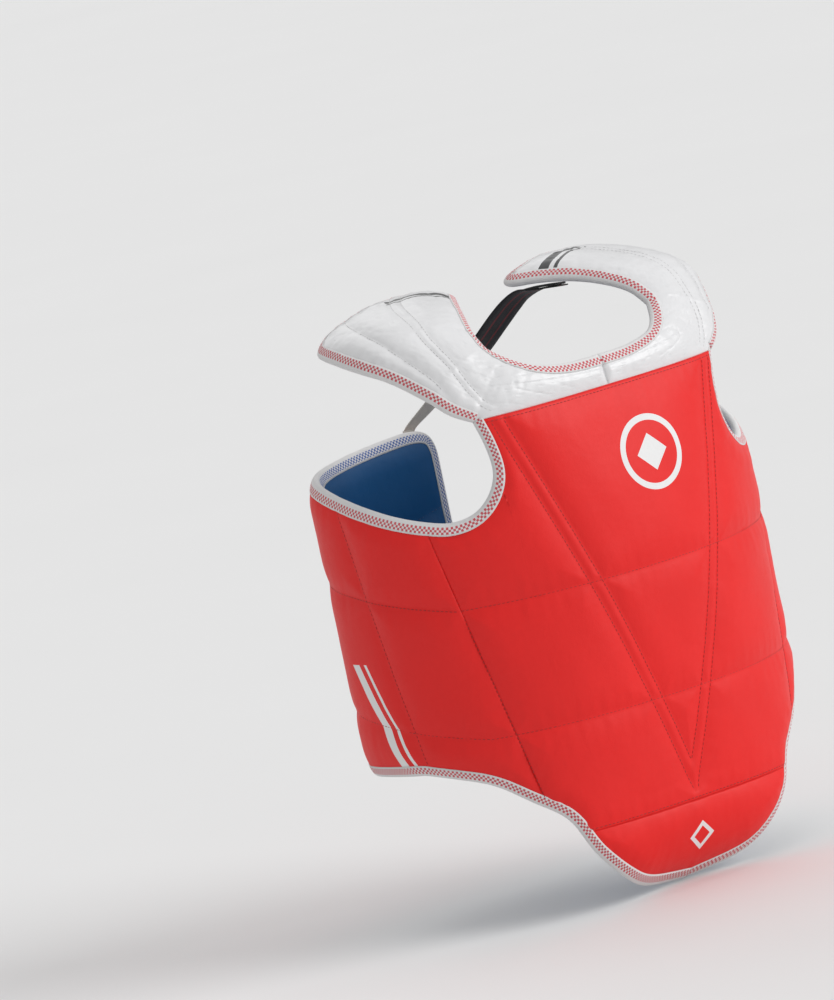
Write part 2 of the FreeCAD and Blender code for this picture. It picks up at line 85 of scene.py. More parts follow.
ARMHOLE = [(165, 512), (157, 484), (155, 456), (166, 434), (185, 419), (209, 414), (231, 417),
           (268, 427), (302, 438)]
WING_TOP = [(308, 440), (345, 451), (403, 468), (480, 477), (560, 482), (590, 481), (606, 474),
            (612, 458)]
WING_LOW = [(308, 168), (403, 166), (480, 166), (560, 167), (590, 169), (606, 176), (612, 192)]
HEM = [(0, 0), (60, 9), (95, 27), (129, 60), (152, 100), (188, 126), (224, 149), (264, 161),
       (302, 168)]
FLAP_NECK = [(103.5, 47, 66), (99.6, 68, 81), (87, 93, 93), (69, 125, 103), (45, 162, 107),
             (23, 193, 105)]
FLAP_CROWN = [(145, 42, 58), (154, 70, 84), (152, 100, 102), (142, 145, 114), (128, 178, 119),
              (110, 205, 119)]
FLAP_OUTER = [(186, 48, 30), (204, 80, 55), (217, 112, 71), (219, 148, 82), (212, 186, 89),
              (196, 212, 94)]
NECK_FRONT = [(0, 4.5, 30), (38, 6.4, 31.5), (72, 12, 39), (93, 28, 52), (103.5, 47, 66)]
ARM_FRONT = [(156, 22.6, 0), (174, 34, 14), (186, 48, 30)]
SEAM_FRONT = CENTRE_Y - FRONT_DEPTH + CHEST_HOLLOW


# ---- surfaces
def catmull(points, part):
    """Smooth curve through points at equal steps of part, from 0 to 1."""
    pts = np.array(points, float)
    place = np.clip(np.asarray(part, float), 0, 1) * (len(pts) - 1)
    i = np.minimum(place.astype(int), len(pts) - 2)
    t = (place - i)[:, None]
    before, after = pts[np.maximum(i - 1, 0)], pts[np.minimum(i + 2, len(pts) - 1)]
    here, there = pts[i], pts[i + 1]
    return 0.5 * (2 * here + (there - before) * t
                  + (2 * before - 5 * here + 4 * there - after) * t ** 2
                  + (3 * here - before - 3 * there + after) * t ** 3)


def make_ring(steps=1440):
    """Half the ring: arc lengths, places and unit directions, from the front to the back."""
    angle = np.linspace(0, math.pi, steps + 1)
    ahead, aside = np.cos(angle), np.sin(angle)
    power = np.where(ahead < 0, BACK_POWER, 2.0)
    depth = np.where(ahead < 0, BACK_DEPTH, FRONT_DEPTH)
    radius = (np.abs(aside / HALF_WIDTH) ** power + np.abs(ahead / depth) ** power) ** (-1 / power)
    x, y = radius * aside, CENTRE_Y - radius * ahead
    arc = np.concatenate([[0], np.cumsum(np.hypot(np.diff(x), np.diff(y)))])
    run = np.array([np.gradient(x, arc), np.gradient(y, arc)])
    return arc, x, y, run / np.linalg.norm(run, axis=0)


RING_ARC, RING_X, RING_Y, RING_RUN = make_ring()


def hollow(height):
    """How far the front is pressed in at a height: chest, belly and curled lower flap."""
    high = CHEST_HOLLOW * (np.maximum(height - UPPER, 0) / (SEAM - UPPER)) ** 2
    tuck = BELLY_TUCK * np.clip((UPPER - height) / (UPPER - TIP), 0, 1) ** 1.5
    return high + tuck + APRON_CURL * np.clip(1 - height / APRON, 0, 2) ** 2


def body(arc, height, depth):
    """Points of the body's sheet at signed arcs, heights and depths, in millimetres."""
    arc, height, depth = np.broadcast_arrays(np.asarray(arc, float), height, depth)
    reach, side = np.abs(arc), np.where(arc < 0, -1.0, 1.0)
    x, y = np.interp(reach, RING_ARC, RING_X), np.interp(reach, RING_ARC, RING_Y)
    run_x, run_y = (np.interp(reach, RING_ARC, row) for row in RING_RUN)
    fade = 0.5 * (1 + np.cos(math.pi * np.minimum(x, HOLLOW_REACH) / HOLLOW_REACH))
    y = y + np.where(y < CENTRE_Y, hollow(height) * fade, 0)
    return np.stack([side * (x - run_y * depth), y + run_x * depth, height], axis=-1)


def frame_spot(spot):
    return spot + np.array([0, SEAM_FRONT, SEAM])


def shoulder_base(along, up):
    """Left yoke for along 0 to 1, left flap for 1 to 2; up goes from the arm edge to the neck."""
    along, up = np.clip(along, 0, 2), np.clip(up, 0, 1)[:, None]
    across = np.minimum(along, 1)
    seam = body(YOKE_ARC * np.minimum(across, YOKE_TURN) / YOKE_TURN, SEAM, 0)
    arm = frame_spot(catmull(ARM_FRONT, (across - YOKE_TURN) / (1 - YOKE_TURN)))
    low = np.where((across <= YOKE_TURN)[:, None], seam, arm)
    top = frame_spot(catmull(NECK_FRONT, across))
    lift = YOKE_BULGE * across[:, None] ** 2 * 4 * up * (1 - up)
    yoke = low + (top - low) * up + np.array([0, -0.5, 0.85]) * lift
    b, a = along - 1, 1 - up
    neck, crown, outer = (frame_spot(catmull(row, b))
                          for row in (FLAP_NECK, FLAP_CROWN, FLAP_OUTER))
    out = 1 - a
    flap = out * (1 - 2 * a) * neck + 4 * a * out * crown + a * (2 * a - 1) * outer
    return np.where((along <= 1)[:, None], yoke, flap)


def unit(rows):
    return rows / np.maximum(np.linalg.norm(rows, axis=-1, keepdims=True), 1e-9)


def smooth(t):
    t = np.clip(t, 0, 1)
    return t * t * (3 - 2 * t)


def shoulder_frame(along, up):
    """Point, rates along and up, and the inward normal of the shoulder's sheet."""
    small = 0.02
    spot = shoulder_base(along, up)
    low_c, high_c = np.maximum(along - small, 0), np.minimum(along + small, 2)
    low_v, high_v = np.maximum(up - small, 0), np.minimum(up + small, 1)
    rate_c = (shoulder_base(high_c, up) - shoulder_base(low_c, up)) / (high_c - low_c)[:, None]
    rise_v = shoulder_base(along, high_v) - shoulder_base(along, low_v)
    rate_v = rise_v / (high_v - low_v)[:, None]
    inward = -unit(np.cross(rate_c, rate_v))
    arc = YOKE_ARC * np.minimum(along, YOKE_TURN) / YOKE_TURN
    flat = body(arc, SEAM, 1.0) - body(arc, SEAM, 0.0)
    share = ((1 - smooth(up / 0.3)) * (1 - smooth((along - 0.78) / 0.12)))[:, None]
    return spot, rate_c, rate_v, unit(inward * (1 - share) + flat * share)


def shoulder(along, up, depth):
    spot, _, _, inward = shoulder_frame(along, up)
    return spot + inward * np.asarray(depth, float)[:, None]


# ---- seams, puff and creases
def dense(points, step=6.0):
    """Smooth path resampled at even lengths."""
    rows = catmull(points, np.linspace(0, 1, 60 * len(points)))
    return even(rows, step)


def run_lengths(rows):
    """Length along a line at each of its points."""
    return np.concatenate([[0], np.cumsum(np.linalg.norm(np.diff(rows, axis=0), axis=1))])


def even_count(rows, count):
    """Line resampled to a count of points at even lengths."""
    run = run_lengths(rows)
    spots = np.linspace(0, run[-1], count)
    return np.stack([np.interp(spots, run, column) for column in rows.T], axis=1)


def even(rows, step):
    return even_count(rows, max(int(run_lengths(rows)[-1] / step), 1) + 1)


def near(points, line):
    """Distance to a line of points, and how far along it the nearest place is."""
    best, place, run = np.full(len(points), 1e9), np.zeros(len(points)), 0.0
    for start, end in zip(line[:-1], line[1:]):
        step = end - start
        length = np.linalg.norm(step)
        t = np.clip((points - start) @ step / max(length, 1e-9) ** 2, 0, 1)
        gap = np.linalg.norm(points - start - t[:, None] * step, axis=1)
        closer = gap < best
        best = np.where(closer, gap, best)
        place = np.where(closer, run + t * length, place)
        run += length
    return best, place


def waves(place, seed):
    periods = (2.3, 4.1, 7.3, 13.7)
    return sum(np.sin(place / p + seed * (k + 1.7)) for k, p in enumerate(periods)) / 4


def pucker(gap, place, seed, reach):
    """Small folds that cross a seam: nothing on the seam itself, most a few millimetres off."""
    return waves(place, seed) * (gap / reach) * np.exp(1 - gap / reach)


RANDOM = np.random.RandomState(11)
DRIFT_WAVES = ((230, 1.0), (170, 0.8), (120, 0.6), (85, 0.45), (60, 0.3), (44, 0.22))
DRIFT = [(unit(RANDOM.normal(size=3)) * 2 * math.pi / length, RANDOM.uniform(0, 6.28), high)
         for length, high in DRIFT_WAVES]
FOLDS = [(unit(RANDOM.normal(size=3)) * 2 * math.pi / length, RANDOM.uniform(0, 6.28))
         for length in (150, 110, 80, 64)]


def drift(points):
    """Slow unevenness of soft foam under vinyl."""
    return sum(high * np.sin(points @ way + phase) for way, phase, high in DRIFT)


def creases(points):
    """Sharp shallow creases where slow waves cross nought, as folded vinyl keeps them."""
    total = np.zeros(len(points))
    for number, (way, phase) in enumerate(FOLDS):
        sway = np.sin(points @ FOLDS[number - 1][0] * 1.7 + number)
        bend = np.sin(points @ way + phase + 1.3 * sway)
        total += np.exp(-np.abs(bend) * 16)
    return total


# How far the faces stand out when full, and how far a seam or edge pulls each one in
BODY_PUFF, BODY_DIP, LINING_DIP = 1.2, 7.7, 6.5
SHOULDER_PUFF, SHOULDER_DIP, SHOULDER_LINING_DIP = 1.0, 5.6, 3.6
# How wide a band each seam or edge pulls in, and how steeply
QUILT_REACH, QUILT_POWER, RIM_REACH, RIM_POWER = 34, 2.6, 30, 2.0
SEAM_PULL = 0.46
BACK_END = 620  # arc just past the wings, where the level seams stop
FLANK = [(172, 114.5), (240, 418.5)]
BODY_SEAMS = [
    [(0, SEAM), (YOKE_ARC, SEAM)], [(0, APRON), (142, APRON)], FLANK, [(291, 160), (353, 456)],
    [(0, UPPER), (RISE_FROM, UPPER),
     (BACK_END, UPPER + QUILT_RISE * (BACK_END - RISE_FROM))],
    [(0, LOWER), (RISE_FROM, LOWER),
     (BACK_END, LOWER + QUILT_RISE * (BACK_END - RISE_FROM))],
    [(133, SEAM), (0, 124)], [(147, SEAM), (2, 92)]]
BODY_SEAMS = [np.array(line, float) for line in BODY_SEAMS]
ARM_LINE, WING_LINE = dense(ARMHOLE), dense(WING_TOP)
HEM_LINE, LOW_LINE = dense(HEM), dense(WING_LOW)
OUTLINE = np.concatenate([ARM_LINE, WING_LINE, LOW_LINE[::-1], HEM_LINE[::-1]])


def pinch(gap, reach, power):
    """1 on a seam, 0 where the pad is full."""
    return (1 - np.clip(gap / reach, 0, 1)) ** power


def body_pinch(flat):
    """Distances to each seam, how far the seams pull, and the distance to the edge."""
    gaps = [near(flat, line) for line in BODY_SEAMS]
    quilt = pinch(np.min([gap for gap, _ in gaps], axis=0), QUILT_REACH, QUILT_POWER)
    edge, _ = near(flat, OUTLINE)
    return gaps, quilt * SEAM_PULL, edge


def body_depths(flat, seed=0.0):
    """Depth of the outer and inner faces at flat points, arcs taken as positive."""
    gaps, quilt, edge = body_pinch(np.stack([np.abs(flat[:, 0]), flat[:, 1]], axis=1))
    rim = pinch(edge, RIM_REACH, RIM_POWER)
    shut = (quilt ** 3 + rim ** 3) ** (1 / 3)
    fold = sum(pucker(gap, place, seed + k, 7.0) for k, (gap, place) in enumerate(gaps))
    fold = fold + 1.1 * pucker(edge, near(np.abs(flat), OUTLINE)[1], seed + 9, 12.0)
    spot = body(flat[:, 0], flat[:, 1], 0)
    full = 1 - np.clip(shut, 0, 1)
    soft = drift(spot + seed) * full
    crease = creases(spot + seed) * full
    out = -BODY_PUFF + BODY_DIP * shut + 0.55 * fold * full - 0.55 * soft + 0.10 * crease
    inner = BODY - LINING_DIP * shut - 0.4 * fold * full + 0.4 * soft
    return out, inner


# Stitched lines along the flap, as along and up of the shoulder's sheet
PADDLE_LINE = np.array([(0.64, 0.0), (0.82, 0.2), (1.0, 0.36), (1.3, 0.46), (1.65, 0.53),
                        (2.0, 0.585)])
OUTER_LINE = np.array([(0.93, 0.10), (1.05, 0.17), (1.4, 0.21), (1.8, 0.235), (2.0, 0.24)])


def shoulder_path(points, step=4.0):
    """Along, up and the place in space of a stitched line, at even steps."""
    rows = catmull(points, np.linspace(0, 1, 200))
    spots = shoulder_base(rows[:, 0], rows[:, 1])
    return even(np.concatenate([rows, spots], axis=1), step)


def round_end(along, up):
    """Rounds the two corners at the flap's end."""
    wide, tall = 0.17, 0.16
    for top in (False, True):
        v = 1 - up if top else up
        x, y = (along - (2 - wide)) / wide, (tall - v) / tall
        inside = (x > 0) & (y > 0)
        new_x = x * np.sqrt(np.maximum(1 - y * y / 2, 0))
        new_y = y * np.sqrt(np.maximum(1 - x * x / 2, 0))
        along = np.where(inside, 2 - wide + wide * new_x, along)
        v = np.where(inside, tall - tall * new_y, v)
        up = 1 - v if top else v
    return along, up


def rim_route():
    """Edge of the shoulder from the neck centre round the flap to the armhole, as along and up."""
    neck = [(a, 1.0) for a in np.linspace(0, 2, 220)]
    end = [(2.0, v) for v in np.linspace(1, 0, 120)]
    arm = [(a, 0.0) for a in np.linspace(2, YOKE_TURN, 160)]
    rows = np.array(neck + end[1:] + arm[1:])
    along, up = round_end(rows[:, 0], rows[:, 1])
    return np.stack([along, up], axis=1)


RIM = rim_route()
RIM_SPOTS = even(shoulder_base(RIM[:, 0], RIM[:, 1]), 6.0)
SEAMS_3D = {}
for label, rows in (("paddle_a", PADDLE_LINE), ("paddle_b", PADDLE_LINE + (0.0, 0.075)),
                    ("outer", OUTER_LINE)):
    SEAMS_3D[label] = shoulder_path(np.clip(rows, 0, 2))
YOKE_SEAM = body(np.linspace(0, YOKE_ARC, 30), SEAM, 0)
CENTRE_SEAM = shoulder_base(np.zeros(8), np.linspace(0, 1, 8))


def shoulder_depths(along, up, seed=0.0):
    """Depth of the outer and inner faces of the yoke and flap."""
    spot = shoulder_base(along, up)
    lines = [YOKE_SEAM, CENTRE_SEAM] + [rows[:, 2:] for rows in SEAMS_3D.values()]
    gaps = [near(spot, line) for line in lines]
    shape = [pinch(gaps[0][0], 22, 2.2) * 0.78, pinch(gaps[1][0], 12, 2.0) * 0.78]
    shape += [pinch(gap, 16, 2.0) * 0.34 for gap, _ in gaps[2:]]
    quilt = np.max(shape, axis=0)
    edge, place = near(spot, RIM_SPOTS)
    rim = pinch(edge, 24, 2.0)
    shut = (quilt ** 3 + rim ** 3) ** (1 / 3)
    fold = sum(pucker(gap, run, seed + k, 6.0) for k, (gap, run) in enumerate(gaps))
    fold = fold + 2.0 * pucker(edge, place * 1.4, seed + 7, 9.0)
    full = 1 - np.clip(shut, 0, 1)
    soft = drift(spot * 1.4 + seed) * full
    crease = creases(spot * 1.5 + seed) * full
    out = (-SHOULDER_PUFF + SHOULDER_DIP * shut + 0.5 * fold * full - 0.45 * soft
           + 0.75 * crease)
    seam_side = pinch(gaps[0][0], 22, 1.0) * (1 - smooth((along - 0.74) / 0.1))
    inner = (YOKE - SHOULDER_LINING_DIP * shut * (1 - seam_side) - 0.2 * seam_side
             - 0.3 * fold * full + 0.3 * soft)
    return out, inner


# ---- meshes
MATERIALS = {}


def place_mesh(name, mesh, material, slot):
    """Object of a smooth mesh in one material; the slot is not used."""
    mesh.polygons.foreach_set("use_smooth", np.ones(len(mesh.polygons), bool))
    mesh.materials.append(MATERIALS[material])
    mesh.validate()
    obj = bpy.data.objects.new(name, mesh)
    bpy.context.scene.collection.objects.link(obj)
    return obj


def add_mesh(name, points, faces, uvs, side, material, slot):
    """Object from millimetre points; side -1 mirrors it, and turns its faces over to match."""
    points = points * np.array([side, 1, 1]) * MM
    if side < 0:
        faces = faces[:, ::-1]
    mesh = bpy.data.meshes.new(name)
    mesh.from_pydata(points.tolist(), [], faces.tolist())
    loops = np.zeros(len(mesh.loops), int)
    mesh.loops.foreach_get("vertex_index", loops)
    layer = mesh.uv_layers.new(name="flat")
    layer.data.foreach_set("uv", (uvs[loops] * MM).astype(np.float32).ravel())
    return place_mesh(name, mesh, material, slot)


def grid_faces(columns, rows, start=0):
    """Four-sided faces of a grid whose points run up each column in turn."""
    i, j = np.meshgrid(np.arange(columns - 1), np.arange(rows - 1), indexing="ij")
    a = (start + i * rows + j).ravel()
    return np.stack([a, a + rows, a + rows + 1, a + 1], axis=1)


def shell(name, outer, inner, columns, rows, uvs, side, material, slot):
    """Closed pad over a grid of outer points and the inner points under them."""
    count = columns * rows
    index = np.arange(count).reshape(columns, rows)
    loop = np.concatenate([index[:, 0], index[-1, 1:], index[-2::-1, -1], index[0, -2:0:-1]])
    after = np.roll(loop, -1)
    rim = np.stack([loop, loop + count, after + count, after], axis=1)
    under = grid_faces(columns, rows, count)[:, ::-1]
    faces = np.concatenate([grid_faces(columns, rows), under, rim])
    points = np.concatenate([outer, inner])
    return add_mesh(name, points, faces, np.concatenate([uvs, uvs]), side, material, slot)


def tube(name, rings, uvs, side, material, slot):
    """Closed sweep: rings is steps x section x 3, its ends closed by rows of faces."""
    steps, section = rings.shape[:2]
    index = np.arange(steps * section).reshape(steps, section)
    following = np.roll(index, -1, axis=1)
    walls = np.stack([index[:-1], following[:-1], following[1:], index[1:]], axis=-1)
    walls = walls.reshape(-1, 4)
    caps = []
    for row, flip in ((index[0], False), (index[-1], True)):
        for k in range(section // 2 - 1):
            quad = [row[k], row[k + 1], row[section - 2 - k], row[section - 1 - k]]
            caps.append(quad if flip else quad[::-1])
    faces = np.concatenate([walls, np.array(caps)])
    return add_mesh(name, rings.reshape(-1, 3), faces, uvs.reshape(-1, 2), side, material, slot)


MID = BODY / 2
# Upper armhole from where it is nearest the middle up to the yoke
ARM_TOP = ARM_LINE[:int(np.argmin(ARM_LINE[:, 0])) + 3][::-1]


def flat_grid(low, high, columns, rows):
    """Flat points between two flat paths, kept inside the upper armhole's hollow edge."""
    t = np.linspace(0, 1, rows)
    low, high = even_count(low, columns), even_count(high, columns)
    flat = (low[:, None, :] + (high - low)[:, None, :] * t[None, :, None]).reshape(-1, 2)
    edge = np.interp(flat[:, 1], ARM_TOP[:, 1], ARM_TOP[:, 0])
    reach = np.abs(flat[:, 0])
    below_top = np.arange(len(flat)) % rows != rows - 1
    past = (flat[:, 1] > ARM_TOP[0, 1]) & below_top & (reach > edge) & (reach < YOKE_ARC + 1)
    flat[:, 0] = np.where(past, np.sign(flat[:, 0]) * edge, flat[:, 0])
    return flat


def clip_line(rows, low, high):
    """Part of a flat path between two arcs, with its ends cut exactly there."""
    order = rows if rows[0, 0] < rows[-1, 0] else rows[::-1]
    inside = order[(order[:, 0] > low) & (order[:, 0] < high)]
    ends = [(arc, np.interp(arc, order[:, 0], order[:, 1])) for arc in (low, high)]
    return np.concatenate([[ends[0]], inside, [ends[1]]])


def both_ways(rows):
    """Path across both halves from the right edge to the left edge."""
    return np.concatenate([rows[:0:-1] * np.array([-1, 1]), rows])


def body_piece(name, low, high, columns, rows, side, face, material, slot, seed):
    """Pad between two flat paths, from its face to just short of the middle of the sheet."""
    flat = flat_grid(low, high, columns, rows)
    out, inner = body_depths(flat, seed)
    top, under = (out, MID - PAD_GAP) if face == "outer" else (MID + PAD_GAP, inner)
    near_points, far_points = (body(flat[:, 0], flat[:, 1], depth) for depth in (top, under))
    piece = shell(name, near_points, far_points, columns, rows, flat, side, material, slot)
    return piece


# ---- materials
class Paint:
    """A node material built from a Principled shader."""

    def __init__(self, name):
        self.material = bpy.data.materials.new(name)
        self.material.use_nodes = True
        self.tree = self.material.node_tree
        self.shader = self.tree.nodes["Principled BSDF"]
        MATERIALS[name] = self.material

    def node(self, kind, **values):
        made = self.tree.nodes.new(kind)
        for key, value in values.items():
            setattr(made, key, value)
        return made

    def put(self, socket, value):
        if isinstance(value, bpy.types.NodeSocket):
            self.tree.links.new(value, socket)
        else:
            socket.default_value = value

    def math(self, operation, first, second=0.0, third=0.0):
        made = self.node("ShaderNodeMath", operation=operation)
        for socket, value in zip(made.inputs, (first, second, third)):
            self.put(socket, value)
        return made.outputs[0]

    def within(self, value, centre, half):
        """1 where the value is nearer to the centre than half."""
        gap = self.math("ABSOLUTE", self.math("SUBTRACT", value, centre))
        return self.math("LESS_THAN", gap, half)

    def flat(self):
        """U and V of the flat map, in metres."""
        split = self.node("ShaderNodeSeparateXYZ")
        uv = self.node("ShaderNodeUVMap", uv_map="flat")
        self.tree.links.new(uv.outputs[0], split.inputs[0])
        return split.outputs[0], split.outputs[1]

    def place(self):
        return self.node("ShaderNodeTexCoord").outputs["Object"]

    def noise(self, scale, detail=3.0, rough=0.5, stretch=None):
        made = self.node("ShaderNodeTexNoise")
        vector = self.place()
        if stretch:
            mapping = self.node("ShaderNodeMapping")
            self.tree.links.new(vector, mapping.inputs["Vector"])
            mapping.inputs["Scale"].default_value = stretch
            vector = mapping.outputs[0]
        self.tree.links.new(vector, made.inputs["Vector"])
        made.inputs["Scale"].default_value = scale
        made.inputs["Detail"].default_value = detail
        made.inputs["Roughness"].default_value = rough
        return made.outputs["Fac"]

    def cells(self, scale):
        made = self.node("ShaderNodeTexVoronoi", feature="DISTANCE_TO_EDGE")
        self.tree.links.new(self.place(), made.inputs["Vector"])
        made.inputs["Scale"].default_value = scale
        return made.outputs["Distance"]

    def mix(self, factor, first, second):
        made = self.node("ShaderNodeMix", data_type="RGBA")
        self.put(made.inputs[0], factor)
        self.put(made.inputs[6], first)
        self.put(made.inputs[7], second)
        return made.outputs[2]

    def spread(self, value, low, high):
        """Value from 0 to 1 turned into low to high."""
        return self.math("MULTIPLY_ADD", value, high - low, low)

    def bump(self, height, strength, distance, before=None):
        made = self.node("ShaderNodeBump")
        made.inputs["Strength"].default_value = strength
        made.inputs["Distance"].default_value = distance
        self.put(made.inputs["Height"], height)
        if before:
            self.tree.links.new(before, made.inputs["Normal"])
        return made.outputs[0]

    def finish(self, colour, rough, normal=None, **constants):
        self.put(self.shader.inputs["Base Color"], colour)
        self.put(self.shader.inputs["Roughness"], rough)
        if normal:
            self.tree.links.new(normal, self.shader.inputs["Normal"])
        for name, value in constants.items():
            self.shader.inputs[name.replace("_", " ")].default_value = value


def shade(colour, factor):
    return tuple(channel * factor for channel in colour[:3]) + (1.0,)


def vinyl(name, colour, rough, grain, coat, marks=None, ink=(0.78, 0.78, 0.78, 1.0)):
    """Coated fabric with a leather grain, soft wear and printed marks."""
    paint = Paint(name)
    slow, fine = paint.noise(9.0, 4.0), paint.noise(160.0, 4.0, 0.6)
    base = paint.mix(slow, shade(colour, 0.90), shade(colour, 1.06))
    base = paint.mix(paint.spread(fine, 0.0, 0.35), base, shade(colour, 0.86))
    if marks:
        base = paint.mix(marks(paint), base, ink)
    worn = paint.spread(paint.math("ADD", paint.math("MULTIPLY", slow, 0.5),
                                   paint.math("MULTIPLY", fine, 0.5)), rough - 0.09, rough + 0.10)
    leather = paint.bump(paint.math("MINIMUM", paint.cells(620.0), 0.12), grain, 0.0012)
    normal = paint.bump(paint.noise(70.0, 5.0, 0.62), 0.22, 0.0022, leather)
    paint.finish(base, worn, normal, Coat_Weight=coat, Coat_Roughness=0.28, Specular_IOR_Level=0.3)


def chest_marks(paint):
    """A plain ring round a diamond."""
    u, v = paint.flat()
    x, y = paint.math("SUBTRACT", u, 0.022), paint.math("SUBTRACT", v, 0.437)
    square_x, square_y = paint.math("MULTIPLY", x, x), paint.math("MULTIPLY", y, y)
    radius = paint.math("SQRT", paint.math("ADD", square_x, square_y))
    ring = paint.within(radius, 0.035, 0.0032)
    spread = paint.math("ADD", paint.math("ABSOLUTE", x), paint.math("ABSOLUTE", y))
    return paint.math("MAXIMUM", ring, paint.math("LESS_THAN", spread, 0.019))


def apron_marks(paint):
    """A small plain diamond outline."""
    u, v = paint.flat()
    y = paint.math("SUBTRACT", v, 0.045)
    spread = paint.math("ADD", paint.math("ABSOLUTE", u), paint.math("ABSOLUTE", y))
    return paint.within(spread, 0.0125, 0.0028)


def side_marks(paint):
    """One broad and one narrow slanted bar, low on the side."""
    u, v = paint.flat()
    slant = paint.math("MULTIPLY_ADD", v, -0.42, paint.math("ABSOLUTE", u))
    broad, narrow = paint.within(slant, 0.250, 0.0062), paint.within(slant, 0.2335, 0.0022)
    low = paint.math("LESS_THAN", v, 0.284)
    return paint.math("MULTIPLY", paint.math("MAXIMUM", broad, narrow), low)


def paddle_marks(paint):
    """One broad and one narrow dark band near the flap's end, by the neck."""
    u, v = paint.flat()
    slant = paint.math("MULTIPLY_ADD", v, 0.12, u)
    broad, narrow = paint.within(slant, 1.86, 0.026), paint.within(slant, 1.80, 0.009)
    neck = paint.math("GREATER_THAN", v, 0.52)
    return paint.math("MULTIPLY", paint.math("MAXIMUM", broad, narrow), neck)


RED, BLUE, WHITE = (0.80, 0.014, 0.012), (0.002, 0.075, 0.22), (0.76, 0.76, 0.77)
for label, marks in (("chest", chest_marks), ("apron", apron_marks), ("side", side_marks)):
    vinyl("red_" + label, RED, 0.50, 0.30, 0.05, marks)
vinyl("blue_grain", BLUE, 0.50, 0.30, 0.05)
vinyl("white_gloss", WHITE, 0.30, 0.10, 0.45, paddle_marks, (0.012, 0.012, 0.013, 1.0))


def weave(paint, u, v, pitch_u, pitch_v):
    """Height of a plain weave at a pitch along and across, from 0 to 1."""
    wave_u = paint.math("SINE", paint.math("MULTIPLY", u, math.pi / pitch_u))
    wave_v = paint.math("SINE", paint.math("MULTIPLY", v, math.pi / pitch_v))
    return paint.math("MULTIPLY_ADD", paint.math("MULTIPLY", wave_u, wave_v), 0.5, 0.5)


def woven(name, colour, pitch, lines=()):
    """Woven band, with lines of another colour along it."""
    paint = Paint(name)
    u, v = paint.flat()
    height = weave(paint, u, v, *pitch)
    # Painted shade: the band is darker where the weave is low, in its hollows, and lighter on its
    # tops
    base = paint.mix(height, shade(colour, 0.7), shade(colour, 1.12))
    base = paint.mix(paint.spread(paint.noise(45.0, 4.0), 0.0, 0.4), base, shade(colour, 0.8))
    for centre, half, ink in lines:
        base = paint.mix(paint.within(v, centre, half), base, ink)
    paint.finish(base, 0.86, paint.bump(height, 0.7, 0.0006), Sheen_Weight=0.15,
                 Sheen_Roughness=0.5)


def check_tape():
    """White tape with three staggered rows of checks, one colour on each face."""
    paint = Paint("edge_tape")
    u, v = paint.flat()
    pitch, first, yarn = 0.0022, 0.0033, 0.00075
    outer_middle, inner_middle, band_half = 0.0066, 0.0231, 0.0033
    column = paint.math("FLOOR", paint.math("DIVIDE", u, pitch))
    row = paint.math("FLOOR", paint.math("DIVIDE", paint.math("SUBTRACT", v, first), pitch))
    odd = paint.math("MODULO", paint.math("ABSOLUTE", paint.math("ADD", column, row)), 2.0)
    odd = paint.math("GREATER_THAN", odd, 0.5)
    outer = paint.math("COMPARE", v, outer_middle, band_half)
    inner = paint.math("COMPARE", v, inner_middle, band_half)
    white = (0.80, 0.79, 0.79, 1.0)
    base = paint.mix(paint.math("MULTIPLY", odd, outer), white, (0.62, 0.035, 0.055, 1.0))
    base = paint.mix(paint.math("MULTIPLY", odd, inner), base, (0.02, 0.10, 0.40, 1.0))
    height = weave(paint, u, v, yarn, yarn)
    # Painted shade: the tape greys where its weave is low, in the hollows between the threads
    base = paint.mix(paint.spread(height, 0.28, 0.0), base, shade((0.8, 0.8, 0.8), 0.55))
    raised = paint.math("ADD", height, paint.math("MULTIPLY", odd, 0.8))
    paint.finish(base, 0.78, paint.bump(raised, 0.6, 0.0005))


def tufted(name, colour, scale):
    """Matt pile, as on hook and loop tape."""
    paint = Paint(name)
    fuzz = paint.noise(scale, 5.0, 0.75)
    base = paint.mix(fuzz, shade(colour, 0.6), shade(colour, 1.25))
    paint.finish(base, 0.95, paint.bump(fuzz, 0.9, 0.0012), Sheen_Weight=0.3, Sheen_Roughness=0.6)


def thread(name, colour):
    """Twisted sewing thread."""
    paint = Paint(name)
    twist = paint.noise(900.0, 2.0)
    paint.finish(paint.mix(twist, shade(colour, 0.72), shade(colour, 1.15)), 0.62,
                 paint.bump(twist, 0.4, 0.0004), Sheen_Weight=0.1)


check_tape()
LINE_RED = (0.17, 0.008, 0.014, 1.0)
ELASTIC_LINES = ((0.0065, 0.0013, LINE_RED), (-0.0065, 0.0013, LINE_RED))
woven("elastic", (0.012, 0.012, 0.014), (0.0012, 0.0009), ELASTIC_LINES)
woven("cotton_tape", (0.66, 0.62, 0.56), (0.0011, 0.0008))
tufted("hook_tape", (0.02, 0.02, 0.022), 800.0)
tufted("loop_tape", (0.62, 0.62, 0.63), 650.0)
thread("red_thread", (0.42, 0.012, 0.012))
thread("white_thread", (0.62, 0.62, 0.62))
thread("blue_thread", (0.01, 0.05, 0.16))

